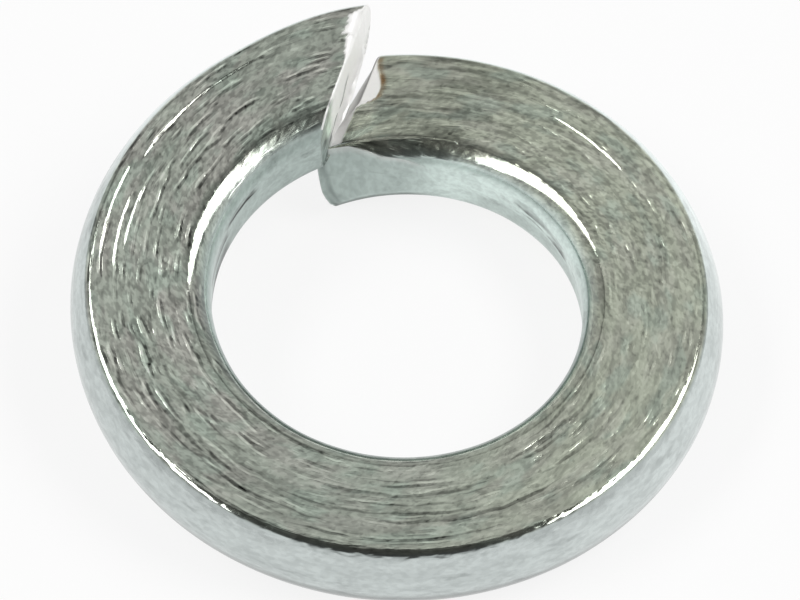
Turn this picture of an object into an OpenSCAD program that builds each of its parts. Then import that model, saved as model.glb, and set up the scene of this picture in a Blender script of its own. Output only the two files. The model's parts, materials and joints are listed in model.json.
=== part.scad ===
// Split spring lock washer for an 8 mm screw: one turn of rolled wire, coiled left-handed
// and sheared off, so that its two ends stand apart in height and bite under the nut.
// The screw axis is Z, the slit lies towards +Y and the lowest edge is at z = 0.

/* [Ring] */
// Diameter of the hole
bore_d = 8.3; // [7:0.1:10]
// Outside diameter, over the crowned outer side
outer_d = 14.6; // [13:0.1:20]
// Thickness of the wire between its two flat faces
thickness = 2; // [1.6:0.1:3]

/* [Coil] */
// Rise of the wire over one full turn
lead = 1.8; // [0.5:0.1:4]
// Width of the slit, measured along the bore
slit_gap = 0.15; // [0.1:0.05:1]
// Angle between the cut and the radius, where the cut meets the bore
slit_slant = 42; // [0:1:55]

/* [Edges of the wire] */
// Radius of the rounded edges along the bore
inner_round = 0.62; // [0.2:0.02:0.7]
// Radius of the tighter edges along the outside
outer_round = 0.18; // [0.1:0.02:0.3]
// Slope of the crowned outer side where it leaves those edges, from the flat faces
crown_angle = 50; // [30:1:80]

/* [Sheared ends] */
// Length over which the shear has drawn the top face down, before each cut
roll_length = 0.4; // [0.1:0.05:0.8]
// How far it has drawn the top face down at the cut
roll_drop = 0.15; // [0.05:0.05:0.4]
// Length over which the flat pressed on the bore edge of the lower end runs out
press_length = 2.3; // [0.5:0.1:3]

/* [Hidden] */

// Steps along the pressed flat, round the rest of the coil, and along the section's curves
press_steps = 12;
turn_steps = 84;
round_steps = 4;
edge_steps = 2;
crown_steps = 3;
roll_steps = 4;

// Main radii, and the level halfway up the section
bore_r = bore_d / 2;
outer_r = outer_d / 2;
mean_r = (bore_r + outer_r) / 2;
mid_z = thickness / 2;

// The bore edge is rounded to this angle, and then runs straight through the bore's wall
bore_edge_angle = 75;
// What is left of that round above the pressed flat, where the flat is deepest, as an angle
press_rest_angle = 10;
// How far the unbored section reaches into the hole
bore_stock = 0.1;
// How far the bore's cutter runs past the ring, below and above
bore_overrun = 1;

// The crown is one arc from the outer edge to half height
crown_r = (mid_z - outer_round * (1 - cos(crown_angle))) / cos(crown_angle);
crown_centre_r = outer_r - crown_r;
outer_edge_r = crown_centre_r + (crown_r - outer_round) * sin(crown_angle);
inner_edge_r = bore_r + inner_round;

// Distance of the cut's plane from the screw axis
cut_offset = bore_r * sin(slit_slant);
// Lengths along the wire as turns, in degrees
gap_turn = slit_gap / bore_r * 180 / PI;
roll_turn = roll_length / mean_r * 180 / PI;
press_turn = press_length / bore_r * 180 / PI;
plain_turn = roll_turn + press_turn;
sweep = 360 - gap_turn;

// Azimuth of the lower end's cut at a radius: half the gap short of +Y at the mean radius
function cut_azimuth(r) = 90 - gap_turn / 2 + asin(cut_offset / r) - asin(cut_offset / mean_r);

// Points of an arc in the section, as radius and height, at angles from the face's normal
function arc(centre, radius, from, to, steps) = [
    for (i = [0:steps])
        let (a = from + (to - from) * i / steps)
        centre + radius * [sin(a), cos(a)]
];

// Level on the wall where the pressed flat starts: lower, the deeper it is pressed
function press_foot(press) = mid_z - press * (mid_z - inner_round);

// Angle up to which the bore edge is still round above the pressed flat
function press_crease(press) = max(press_rest_angle, bore_edge_angle * (1 - press));

// Upper half of the section, from the bore's wall to half height outside: the pressed flat runs
// straight from its foot on the wall to its crease on the round
function upper_half(press) = concat(
    [[bore_r - bore_stock, press_foot(press)]],
    arc([inner_edge_r, thickness - inner_round], inner_round, -press_crease(press), 0, round_steps),
    arc([outer_edge_r, thickness - outer_round], outer_round, 0, crown_angle, edge_steps),
    [
        for (i = [1:crown_steps])
            let (a = crown_angle + (90 - crown_angle) * i / crown_steps)
            [crown_centre_r + crown_r * sin(a), mid_z + crown_r * cos(a)]
    ]
);

// Lower half, from half height outside back to the bore, without the shared points
function lower_half() =
    let (half = upper_half(0))
    [for (i = [len(half) - 2:-1:1]) [half[i][0], thickness - half[i][1]]];

// Whole section; the shear's drop grows from nothing at half height to the full drop on top
function section(press, drop) = [
    for (p = concat(upper_half(press), lower_half()))
        [p[0], p[1] - drop * max(0, p[1] - mid_z) / (thickness - mid_z)]
];

// A section's points in space, set on the slanted cut and turned clockwise round the coil
function ring(turn, press, drop) = [
    for (p = section(press, drop))
        let (azimuth = cut_azimuth(p[0]) - turn)
        let (rise = lead * (cut_azimuth(inner_edge_r) - azimuth) / 360)
        [p[0] * cos(azimuth), p[0] * sin(azimuth), p[1] + rise]
];

// How much the bore edge is pressed flat at a turn from the lower end
function press_at(turn) = max(0, 1 - turn / plain_turn);

// Sections from the lower end to the upper one, with a quarter round of drop at each cut
function coil() = concat(
    [
        for (i = [0:roll_steps - 1])
            let (a = 90 * i / roll_steps, turn = roll_turn * (1 - cos(a)))
            ring(turn, press_at(turn), roll_drop * (1 - sin(a)))
    ],
    [
        for (i = [0:press_steps - 1])
            let (turn = roll_turn + press_turn * i / press_steps)
            ring(turn, press_at(turn), 0)
    ],
    [
        for (i = [0:turn_steps])
            let (turn = plain_turn + (sweep - roll_turn - plain_turn) * i / turn_steps)
            ring(turn, 0, 0)
    ],
    [
        for (i = [roll_steps - 1:-1:0])
            let (a = 90 * i / roll_steps, turn = sweep - roll_turn * (1 - cos(a)))
            ring(turn, 0, roll_drop * (1 - sin(a)))
    ]
);

// A solid skin over a list of rings with equal numbers of points, closed at both ends
module skin(rings) {
    n = len(rings[0]);
    last = (len(rings) - 1) * n;
    sides = [
        for (j = [0:len(rings) - 2], k = [0:n - 1])
            let (a = j * n + k, b = j * n + (k + 1) % n)
            each [[a, b, b + n], [a, b + n, a + n]]
    ];
    polyhedron(
        points = [for (ring = rings) each ring],
        faces = concat(sides, [[for (k = [n - 1:-1:0]) k]], [[for (k = [0:n - 1]) last + k]])
    );
}

module washer() {
    height = thickness + 2 * lead + 2 * bore_overrun;
    color([0.66, 0.69, 0.67])
        difference() {
            skin(coil());
            translate([0, 0, -bore_overrun])
                cylinder(h = height, d = bore_d, $fn = 180);
        }
}

washer();
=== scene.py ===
"""Split spring lock washer: one turn of rolled wire, zinc-plated, with two sheared ends."""

import json
import logging
import math
from dataclasses import dataclass, field
from enum import Enum
from typing import Union

import bmesh
import bpy
from mathutils import Matrix, Vector, noise


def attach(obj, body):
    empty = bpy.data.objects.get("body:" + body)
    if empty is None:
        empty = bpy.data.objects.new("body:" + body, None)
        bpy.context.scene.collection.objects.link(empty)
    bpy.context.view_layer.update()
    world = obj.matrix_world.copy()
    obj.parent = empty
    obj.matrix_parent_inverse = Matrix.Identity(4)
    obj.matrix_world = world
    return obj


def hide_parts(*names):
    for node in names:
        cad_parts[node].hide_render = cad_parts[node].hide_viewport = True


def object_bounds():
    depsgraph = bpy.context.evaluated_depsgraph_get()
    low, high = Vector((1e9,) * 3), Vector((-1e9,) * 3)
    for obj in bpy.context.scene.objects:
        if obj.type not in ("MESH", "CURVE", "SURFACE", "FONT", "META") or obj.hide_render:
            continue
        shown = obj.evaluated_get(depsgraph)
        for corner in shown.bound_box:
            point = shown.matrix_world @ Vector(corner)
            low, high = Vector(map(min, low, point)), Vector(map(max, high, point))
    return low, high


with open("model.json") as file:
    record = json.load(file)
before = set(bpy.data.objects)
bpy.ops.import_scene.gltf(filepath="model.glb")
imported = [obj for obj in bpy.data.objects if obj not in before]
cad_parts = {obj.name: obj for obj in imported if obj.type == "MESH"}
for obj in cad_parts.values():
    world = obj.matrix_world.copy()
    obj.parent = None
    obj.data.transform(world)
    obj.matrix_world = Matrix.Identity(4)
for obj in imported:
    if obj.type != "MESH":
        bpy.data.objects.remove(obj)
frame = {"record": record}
cad_low, cad_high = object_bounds()

LOG = logging.getLogger("washer")
MM = 0.001
PHOTO_WIDTH = 800
# Middle of a pattern that runs from 0 to 1
MIDDLE = 0.5
# Lengths in millimetres, and turns in radians, that count as the same
TOUCH = 1e-4
SAME_TURN = 1e-6
Number = Union[float, "Term"]
Colour = tuple[float, float, float, float]
Paint = Union[Colour, "Term"]
Shift = tuple[float, float, float]
Point = dict["Measure", float]


def smooth_step(low: float, high: float, x: float) -> float:
    """Eased share of the way from low to high, held at 0 and 1 outside."""
    share = min(1.0, max(0.0, (x - low) / (high - low)))
    return share * share * (3.0 - 2.0 * share)


def put_in_scene(name: str, data: bpy.types.ID) -> bpy.types.Object:
    """Make an object of a mesh, a lamp or a camera and link it to the scene.

    Args:
        name: The object's name.
        data: Its mesh, lamp or camera.

    Returns:
        The object.
    """
    made = bpy.data.objects.new(name, data)
    bpy.context.scene.collection.objects.link(made)
    return made


class End(Enum):
    """The two ends of the wire, named by where they stand at the slit."""

    LOWER = "lower"
    UPPER = "upper"


class Layer(Enum):
    """The finishes' mesh layers, which the materials read by name."""

    WIRE = "along_wire"
    SHEAR = "sheared"
    STAIN = "stained"
    SHADE = "shaded"


class Facing(Enum):
    """Kinds of faces, as the mesh keeps them: the skin, the inner part of a cut and the frill round it."""

    SKIN = 0
    INNER = 1
    FRILL = 2


class Zone(Enum):
    """Parts of the section that a shade may be kept to."""

    ALL = "all round"
    WALL = "straight part of the bore's wall"
    BORE = "bore's wall and its rounded edges"
    PAST_WALL = "all but the upper half of the bore's wall"
    CROWN = "outer side"
    TOP = "top face"


class Measure(Enum):
    """What places a shade on the skin; the turn is in radians and the rest in millimetres."""

    TURN = "turn from the lower cut"
    RADIUS = "radius"
    HEIGHT = "height in the section"
    # FOOT is measured from the border of the painted shade at the foot of the bore's wall, which rises at
    # the left
    FOOT = "height in the section, less the rise of the dirt's border"
    CREASE = "way round the section from the top of the bore's wall"
    BORDER = "way round the section to the border of the top face"
    LOW_END = "way along the wire from the lower cut"
    HIGH_END = "way along the wire to the upper cut"


class Term:
    """A shader socket that takes part in Python arithmetic."""

    def __init__(self, bench: "NodeBench", socket: bpy.types.NodeSocket) -> None:
        """Keep the socket and the bench that its Math nodes are added to.

        Args:
            bench: The node tree's helper.
            socket: The output that this term stands for.
        """
        self.bench = bench
        self.socket = socket

    def _math(self, operation: str, first: Number, second: Number = 0.0) -> "Term":
        """Add a Math node and return its result."""
        return self.bench.term("ShaderNodeMath", {"operation": operation}, {0: first, 1: second})

    def __add__(self, other: Number) -> "Term":
        """Sum of two values."""
        return self._math("ADD", self, other)

    def __radd__(self, other: Number) -> "Term":
        """Sum with a plain number in front."""
        return self._math("ADD", other, self)

    def __sub__(self, other: Number) -> "Term":
        """Difference of two values."""
        return self._math("SUBTRACT", self, other)

    def __rsub__(self, other: Number) -> "Term":
        """Difference from a plain number."""
        return self._math("SUBTRACT", other, self)

    def __mul__(self, other: Number) -> "Term":
        """Product of two values."""
        return self._math("MULTIPLY", self, other)

    def __rmul__(self, other: Number) -> "Term":
        """Product with a plain number in front."""
        return self._math("MULTIPLY", other, self)

    def __abs__(self) -> "Term":
        """Value without its sign."""
        return self._math("ABSOLUTE", self)

    def eased(self, low: float, high: float) -> "Term":
        """Share of the way from low to high, eased and held at 0 and 1 outside."""
        settings = {"interpolation_type": "SMOOTHSTEP"}
        return self.bench.term("ShaderNodeMapRange", settings, {0: self, 1: low, 2: high})


class NodeBench:
    """Adds nodes to one node tree."""

    def __init__(self, tree: bpy.types.NodeTree) -> None:
        """Start with an empty tree.

        Args:
            tree: A material's or world's node tree, whose default nodes are removed.
        """
        tree.nodes.clear()
        self.tree = tree

    def node(self, kind: str, settings: dict | None = None, sockets: dict | None = None) -> bpy.types.Node:
        """Add a node of any kind.

        Args:
            kind: The node's type name.
            settings: Properties of the node, set before its sockets.
            sockets: Values, terms or sockets for its inputs, by name or index.

        Returns:
            The new node.
        """
        made = self.tree.nodes.new(kind)
        for name, value in (settings or {}).items():
            setattr(made, name, value)
        for key, value in (sockets or {}).items():
            if isinstance(value, Term):
                self.tree.links.new(value.socket, made.inputs[key])
            elif isinstance(value, bpy.types.NodeSocket):
                self.tree.links.new(value, made.inputs[key])
            else:
                made.inputs[key].default_value = value
        return made

    def term(self, kind: str, settings: dict | None = None, sockets: dict | None = None,
             output: int | str = 0) -> Term:
        """Add a node and return one of its outputs as a term."""
        return Term(self, self.node(kind, settings, sockets).outputs[output])

    def layer(self, layer: Layer, output: str) -> Term:
        """One of the mesh's layers."""
        return self.term("ShaderNodeAttribute", {"attribute_name": layer.value}, output=output)

    def axis(self, vector: Term, name: str) -> Term:
        """One coordinate of a vector."""
        return self.term("ShaderNodeSeparateXYZ", sockets={0: vector}, output=name)

    def reach(self, vector: Term, direction: Vector) -> Term:
        """How far a vector reaches in a direction."""
        sockets = {0: vector, 1: direction}
        return self.term("ShaderNodeVectorMath", {"operation": "DOT_PRODUCT"}, sockets, output="Value")

    def stretched(self, vector: Term, along: float, across: float, shift: Shift) -> Term:
        """Coordinates scaled along and across the wire, then shifted to another part of a pattern."""
        sockets = {0: vector, 1: (along, across, 1.0), 2: shift}
        return self.term("ShaderNodeVectorMath", {"operation": "MULTIPLY_ADD"}, sockets)

    def noise(self, vector: Term, detail: float, roughness: float) -> Term:
        """Cloud noise between 0 and 1 at one cell per unit of the coordinates."""
        sockets = {"Vector": vector, "Scale": 1.0, "Detail": detail, "Roughness": roughness}
        return self.term("ShaderNodeTexNoise", {"noise_dimensions": "3D"}, sockets)

    def warped(self, vector: Term, per_unit: float, amount: float) -> Term:
        """Coordinates that wander by up to half an amount, so that straight patterns wave.

        Args:
            vector: The coordinates.
            per_unit: Waves for each unit.
            amount: Twice the furthest that they wander.

        Returns:
            The wandering coordinates.
        """
        sockets = {"Vector": vector, "Scale": per_unit, "Detail": 1.0}
        drift = self.term("ShaderNodeTexNoise", {"noise_dimensions": "3D"}, sockets, output="Color")
        sockets = {0: drift, 1: (amount, amount, amount), 2: vector}
        return self.term("ShaderNodeVectorMath", {"operation": "MULTIPLY_ADD"}, sockets)

    def mix_colours(self, share: Number, first: Paint, second: Paint) -> Term:
        """Blend of two colours."""
        sockets = {0: share, 6: first, 7: second}
        return self.term("ShaderNodeMix", {"data_type": "RGBA"}, sockets, output=2)

    def shaded(self, colour: Term, tone: Term) -> Term:
        """Colour made lighter or darker by a factor."""
        return self.term("ShaderNodeVectorMath", {"operation": "SCALE"}, {0: colour, "Scale": tone})


def new_material(name: str) -> tuple[bpy.types.Material, NodeBench]:
    """Make a material, and a bench on which its nodes are put together.

    Args:
        name: The material's name.

    Returns:
        The material and its bench.
    """
    made = bpy.data.materials.new(name)
    made.use_nodes = True
    return made, NodeBench(made.node_tree)


@dataclass(frozen=True)
class Fade:
    """Where a mark comes in along some measure: none of it at one place, all of it from another on."""

    none: float
    full: float

    def at(self, x: float) -> float:
        """Share of the mark at a place, eased between 0 and 1."""
        return smooth_step(self.none, self.full, x)

    def on(self, x: Term) -> Term:
        """Share of the mark over a surface, eased between 0 and 1."""
        return x.eased(self.none, self.full)


@dataclass(frozen=True)
class Span:
    """A stretch that a mark covers, with a fade at each end."""

    first: Fade
    last: Fade

    def on(self, x: Term) -> Term:
        """Share of the mark over a surface, eased between 0 and 1."""
        return self.first.on(x) * self.last.on(x)


@dataclass(frozen=True)
class Ripple:
    """Smooth unevenness: its height, its cells for each unit of two measures, its place in the noise."""

    height: float
    first: float
    second: float = 0.0
    place: tuple[float, float] = (0.0, 0.0)

    def at(self, x: float, y: float = 0.0) -> float:
        """Height at a place, up or down."""
        beside, above = self.place
        return self.height * noise.noise(Vector((x * self.first, y * self.second + beside, above)))


@dataclass(frozen=True)
class Pattern:
    """A noise pattern: its cells for each millimetre, and the noise levels that it fades between."""

    along: float
    across: float
    levels: Fade | None
    detail: float = 1.0
    roughness: float = 0.5
    shift: Shift = (0.0, 0.0, 0.0)

    def drawn(self, bench: NodeBench, wire: Term) -> Term:
        """The pattern over coordinates in millimetres, between 0 and 1.

        Args:
            bench: The material's node bench.
            wire: The coordinates, in millimetres.

        Returns:
            The pattern's value.
        """
        cells = bench.stretched(wire, self.along, self.across, self.shift)
        made = bench.noise(cells, self.detail, self.roughness)
        return self.levels.on(made) if self.levels else made


@dataclass(frozen=True)
class Marks:
    """The finish's patterns as shader values between 0 and 1."""

    worm: Term
    coil: Term
    dash: Term
    rut: Term
    line: Term
    glint: Term
    speck: Term
    fleck: Term
    cloud: Term
    blush: Term
    moss: Term
    blot: Term
    streak: Term


@dataclass(frozen=True)
class Patterns:
    """The finish's patterns; bend and drift are how often and how far their coordinates wander."""

    bend: tuple[float, float] = (1.6, 0.16)
    drift: tuple[float, float] = (0.9, 0.08)
    worm: Pattern = Pattern(6.0, 8.6, Fade(0.41, 0.59), detail=1.5)
    coil: Pattern = Pattern(1.6, 3.0, Fade(0.38, 0.62), detail=2.0, roughness=0.6)
    dash: Pattern = Pattern(1.1, 7.4, Fade(0.59, 0.67))
    rut: Pattern = Pattern(1.1, 7.4, Fade(0.57, 0.65), shift=(0.0, 0.5, 0.0))
    line: Pattern = Pattern(0.3, 6.0, Fade(0.57, 0.63), shift=(0.0, 0.0, 57.0))
    glint: Pattern = Pattern(0.3, 6.0, Fade(0.60, 0.66), shift=(0.0, 0.4, 57.0))
    speck: Pattern = Pattern(7.0, 10.0, Fade(0.66, 0.74), detail=0.0)
    fleck: Pattern = Pattern(3.0, 7.0, Fade(0.72, 0.79), detail=0.0)
    cloud: Pattern = Pattern(0.5, 0.9, None, detail=2.0)
    blush: Pattern = Pattern(0.6, 1.5, Fade(0.42, 0.62), detail=2.0, shift=(0.0, 0.0, 83.0))
    moss: Pattern = Pattern(0.9, 1.8, Fade(0.50, 0.64), detail=2.0, shift=(0.0, 0.0, 17.0))
    blot: Pattern = Pattern(0.9, 2.6, Fade(0.56, 0.70), detail=3.0, roughness=0.6)
    streak: Pattern = Pattern(0.6, 5.0, Fade(0.36, 0.64), detail=3.0, roughness=0.6)

    def drawn(self, bench: NodeBench, wire: Term) -> Marks:
        """Draw all the patterns: mottle on waving coordinates, dashes on straighter ones.

        Args:
            bench: The material's node bench.
            wire: Coordinates along and round the wire, in millimetres.

        Returns:
            The patterns' values.
        """
        bent = bench.warped(wire, *self.bend)
        straight = bench.warped(wire, *self.drift)
        return Marks(
            worm=self.worm.drawn(bench, bent),
            coil=self.coil.drawn(bench, bent),
            dash=self.dash.drawn(bench, straight),
            rut=self.rut.drawn(bench, straight),
            line=self.line.drawn(bench, bent),
            glint=self.glint.drawn(bench, bent),
            speck=self.speck.drawn(bench, wire),
            fleck=self.fleck.drawn(bench, wire),
            cloud=self.cloud.drawn(bench, wire),
            blush=self.blush.drawn(bench, wire),
            moss=self.moss.drawn(bench, wire),
            blot=self.blot.drawn(bench, wire),
            streak=self.streak.drawn(bench, bent),
        )


@dataclass(frozen=True)
class DieLine:
    """A line that the rolls left in the top face, where the face steps up outwards.

    The turns are in degrees from the lower cut, and the lengths in millimetres.
    """

    radius: float
    start: float
    stop: float
    height: float
    width: float = 0.10
    fade: float = 0.8

    def drawn(self, section: "WireSection", along: Term, across: Term) -> Term:
        """Height of the step, in millimetres.

        Args:
            section: The wire's section.
            along: Distance along the wire, in millimetres.
            across: Distance round the section, in millimetres.

        Returns:
            The height over the surface.
        """
        middle = section.around_at(self.radius)
        first, last = [math.radians(turn) * section.mean_r for turn in (self.start, self.stop)]
        run = along.eased(first, first + self.fade) * along.eased(last, last - self.fade)
        return across.eased(middle - self.width / 2.0, middle + self.width / 2.0) * run * self.height


@dataclass(frozen=True)
class DarkStreak:
    """A dark mark on the bore's wall; places along the wire and round the section, in millimetres."""

    start: tuple[float, float]
    stop: tuple[float, float]
    half_width: float
    depth: float
    fade: float = 0.4

    def drawn(self, along: Term, across: Term, ragged: Term) -> Term:
        """How dark the mark is.

        Args:
            along: Distance along the wire, in millimetres.
            across: Distance round the section, in millimetres.
            ragged: Pattern between 0 and 1 that breaks the mark up.

        Returns:
            The darkness over the surface.
        """
        (first, low), (last, high) = self.start, self.stop
        slope = (high - low) / (last - first)
        middle = along * slope + (low - first * slope)
        away = abs(across - middle + (ragged - MIDDLE) * self.half_width)
        run = along.eased(first, first + self.fade) * along.eased(last, last - self.fade)
        return away.eased(self.half_width, 0.0) * run * self.depth * (MIDDLE + ragged)


@dataclass(frozen=True)
class Stretches:
    """Stretches of the wire that look different, in millimetres from the lower cut."""

    worn: Fade = Fade(13.0, 21.0)
    dashed: Fade = Fade(19.0, 26.0)
    lined: Span = Span(Fade(11.0, 16.0), Fade(28.0, 22.0))
    curled: Span = Span(Fade(2.0, 4.0), Fade(12.0, 8.5))
    near_low: Fade = Fade(6.0, 1.5)
    near_high: Fade = Fade(30.0, 35.5)
    # Stretches that take painted light on the walls: the outer side at the rear and on the right, the
    # bore's wall on the pale stretch
    rear_right: Fade = Fade(9.5, 7.0)
    rear_left: Fade = Fade(29.0, 31.5)
    right: Fade = Fade(17.0, 12.0)
    pale: Span = Span(Fade(2.2, 4.0), Fade(12.0, 9.0))


@dataclass(frozen=True)
class Sides:
    """Sides of the section, by the upright share of the normal or by millimetres past the outer rim."""

    flat: Fade = Fade(0.66, 0.92)
    level: Fade = Fade(0.955, 0.99)
    steep: Fade = Fade(0.80, 0.52)
    rim: Span = Span(Fade(-0.1, 0.0), Fade(0.45, 0.25))
    outside: Span = Span(Fade(0.0, 0.3), Fade(3.0, 2.5))


@dataclass(frozen=True)
class Places:
    """Where a point of the surface lies, as shader values: two in millimetres, the rest from 0 to 1."""

    along: Term
    across: Term
    flat: Term
    level: Term
    steep: Term
    rim: Term
    outside: Term
    worn: Term
    dashed: Term
    lined: Term
    curled: Term
    near_low: Term
    near_high: Term
    rear: Term
    right: Term
    pale: Term

    @property
    def low_edge(self) -> Term:
        """The bore edge near the lower cut."""
        return self.near_low * (1.0 - self.level) * (1.0 - self.outside)

    @property
    def high_edge(self) -> Term:
        """The bore edge near the upper cut."""
        return self.near_high * (1.0 - self.level) * (1.0 - self.outside)


@dataclass(frozen=True)
class FaceTone:
    """How strongly each mark lightens, darkens or tints the flat faces."""

    worm: float = 0.20
    worm_dashed: float = 0.16
    worm_curled: float = 0.14
    coil: float = 0.24
    dash: float = 0.80
    rut: float = 0.50
    dashes: float = 0.26
    dashes_more: float = 0.64
    line: float = 0.08
    line_more: float = 0.34
    glint: float = 0.20
    speck: float = 0.2
    fleck: float = 0.3
    cloud: float = 0.5
    streak: float = 0.14
    streak_low: float = 0.5
    near_low: float = 0.24
    near_high: float = 0.14
    blush: float = 0.30
    blush_dashed: float = 0.34
    moss: float = 0.5


@dataclass(frozen=True)
class WallTone:
    """How strongly each mark lightens or darkens the bore's wall and the outer side; rear, right and pale
    are painted light.
    """

    blot: float = 0.20
    worm: float = 0.10
    coil: float = 0.12
    rear: float = 0.50
    right: float = 0.12
    pale: float = 0.36
    near_high: float = 0.10


@dataclass(frozen=True)
class Dullness:
    """Roughness of the plain plating, and what each side and mark adds to it."""

    plain: float = 0.08
    level: float = 0.08
    steep: float = 0.22
    steep_outside: float = 0.08
    cloud: float = 0.05
    shear: float = 0.2
    rim: float = 0.22
    high_edge: float = 0.16
    low_edge: float = 0.14


@dataclass(frozen=True)
class Grain:
    """Heights of the marks over the surface, in millimetres: on the faces, the rim and the bore edges."""

    worm: float = 0.0014
    coil: float = 0.0020
    dash: float = 0.0030
    rut: float = 0.0026
    line: float = 0.0020
    fleck: float = 0.0018
    rim_coil: float = 0.007
    low_coil: float = 0.008
    low_dash: float = 0.004
    high_coil: float = 0.004
    high_dash: float = 0.004


@dataclass(frozen=True)
class ZincPlate:
    """Bright zinc plating over rolled wire: worm-like mottle, drawn dashes, pits and die lines."""

    section: "WireSection"
    fresh_colour: Colour = (0.574, 0.618, 0.502, 1.0)
    worn_colour: Colour = (0.484, 0.530, 0.458, 1.0)
    blush_colour: Colour = (0.526, 0.512, 0.472, 1.0)
    moss_colour: Colour = (0.475, 0.575, 0.490, 1.0)
    wall_colour: Colour = (0.535, 0.580, 0.570, 1.0)
    bore_colour: Colour = (0.485, 0.560, 0.532, 1.0)
    # Sheared bare metal, painted near white so that it also stands for a painted highlight on the cuts, the
    # facet, the rolled edge and the crease
    bare_and_highlight_colour: Colour = (0.99, 0.985, 0.97, 1.0)
    stain_colour: Colour = (0.27, 0.17, 0.08, 1.0)
    torn_share: float = 0.75
    patterns: Patterns = Patterns()
    stretches: Stretches = Stretches()
    sides: Sides = Sides()
    face_tone: FaceTone = FaceTone()
    wall_tone: WallTone = WallTone()
    dullness: Dullness = Dullness()
    grain: Grain = Grain()
    die_lines: tuple[DieLine, ...] = (
        DieLine(6.49, 300.0, 340.0, 0.036),
        DieLine(6.66, 276.0, 306.0, 0.027),
        DieLine(6.33, 274.0, 301.0, 0.030),
        DieLine(6.14, 280.0, 304.0, 0.027),
        DieLine(6.77, 303.0, 318.0, 0.020),
        DieLine(6.18, 36.0, 66.0, 0.031),
    )
    dark_streaks: tuple[DarkStreak, ...] = (
        DarkStreak((6.0, 0.34), (8.9, 0.08), 0.27, 0.60),
        DarkStreak((31.4, 0.36), (33.4, 0.36), 0.11, 0.75),
        # Painted shade along the lower rim of the bore's wall at the left
        DarkStreak((29.4, 0.00), (31.8, 0.10), 0.22, 0.62),
    )

    def places(self, bench: NodeBench, wire: Term) -> Places:
        """Work out where a point of the surface lies.

        Args:
            bench: The material's node bench.
            wire: Coordinates along and round the wire, in millimetres.

        Returns:
            The point's sides and stretches.
        """
        along, across = bench.axis(wire, "X"), bench.axis(wire, "Y")
        upright = abs(bench.axis(bench.term("ShaderNodeTexCoord", output="Normal"), "Z"))
        past_rim = across - self.section.around_at(self.section.outer_edge_r)
        side, run = self.sides, self.stretches
        return Places(
            along=along,
            across=across,
            flat=side.flat.on(upright),
            level=side.level.on(upright),
            steep=side.steep.on(upright),
            rim=side.rim.on(past_rim),
            outside=side.outside.on(past_rim),
            worn=run.worn.on(along),
            dashed=run.dashed.on(along),
            lined=run.lined.on(along),
            curled=run.curled.on(along),
            near_low=run.near_low.on(along),
            near_high=run.near_high.on(along),
            rear=run.rear_right.on(along) + run.rear_left.on(along),
            right=run.right.on(along),
            pale=run.pale.on(along),
        )

    def face_paint(self, bench: NodeBench, at: Places, marks: Marks) -> Term:
        """Colour of the flat faces.

        Args:
            bench: The material's node bench.
            at: Where the point lies.
            marks: The patterns there.

        Returns:
            The colour.
        """
        by = self.face_tone
        mottle = (marks.worm - MIDDLE) * (by.worm + at.dashed * by.worm_dashed + at.curled * by.worm_curled)
        mottle = mottle + (marks.coil - MIDDLE) * by.coil + (marks.cloud - MIDDLE) * by.cloud
        dashes = by.dashes + at.dashed * by.dashes_more
        mottle = mottle + (marks.dash * by.dash - marks.rut * by.rut) * dashes
        mottle = mottle - marks.line * (by.line + at.lined * by.line_more)
        mottle = mottle + marks.glint * at.lined * by.glint
        mottle = mottle - marks.speck * by.speck + marks.fleck * by.fleck
        mottle = mottle + (marks.streak - MIDDLE) * (by.streak + at.near_low * by.streak_low)
        tone = (1.0 + mottle) * (1.0 - at.near_low * by.near_low - at.near_high * by.near_high)
        paint = bench.mix_colours(at.worn, self.fresh_colour, self.worn_colour)
        blush = marks.blush * (by.blush + at.dashed * by.blush_dashed)
        paint = bench.mix_colours(blush, paint, self.blush_colour)
        paint = bench.mix_colours(marks.moss * by.moss, paint, self.moss_colour)
        return bench.shaded(paint, tone)

    def wall_paint(self, bench: NodeBench, at: Places, marks: Marks) -> Term:
        """Colour of the bore's wall and of the outer side.

        Args:
            bench: The material's node bench.
            at: Where the point lies.
            marks: The patterns there.

        Returns:
            The colour.
        """
        by = self.wall_tone
        tone = 1.0 - marks.blot * by.blot
        tone = tone + (marks.worm - MIDDLE) * by.worm + (marks.coil - MIDDLE) * by.coil
        # Painted light: the outer side lighter at the rear and on the right, and the bore's wall lighter on
        # the pale stretch
        tone = tone + at.outside * (at.rear * by.rear + at.right * by.right)
        tone = tone * (1.0 + (at.pale * by.pale - at.near_high * by.near_high) * (1.0 - at.outside))
        darkened = sum(dark_streak.drawn(at.along, at.across, marks.streak) for dark_streak in self.dark_streaks)
        paint = bench.mix_colours(at.outside, self.bore_colour, self.wall_colour)
        return bench.shaded(paint, tone * (1.0 - darkened))

    def roughness(self, at: Places, marks: Marks, shear: Term) -> Term:
        """Roughness of the surface.

        Args:
            at: Where the point lies.
            marks: The patterns there.
            shear: How bare the shear left the metal.

        Returns:
            The roughness.
        """
        by = self.dullness
        steep = at.steep * (by.steep - at.outside * (by.steep - by.steep_outside))
        rough = by.plain + at.level * by.level + steep + marks.cloud * by.cloud + shear * by.shear
        rough = rough + at.rim * at.rear * by.rim
        return rough + at.high_edge * by.high_edge + at.low_edge * by.low_edge

    def relief(self, at: Places, marks: Marks) -> Term:
        """Height of the grain and of the die lines.

        Args:
            at: Where the point lies.
            marks: The patterns there.

        Returns:
            The height over the surface, in millimetres.
        """
        by = self.grain
        face = marks.worm * by.worm + marks.coil * by.coil + marks.dash * by.dash
        face = face - marks.rut * by.rut - marks.line * by.line + marks.fleck * by.fleck
        edge = (marks.coil * by.low_coil + marks.dash * by.low_dash) * at.low_edge
        edge = edge + (marks.coil * by.high_coil + marks.dash * by.high_dash) * at.high_edge
        rim = marks.coil * by.rim_coil * at.rim * at.lined
        steps = sum(line.drawn(self.section, at.along, at.across) for line in self.die_lines)
        return face * at.level + edge * (1.0 - at.steep) + rim + steps

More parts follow.
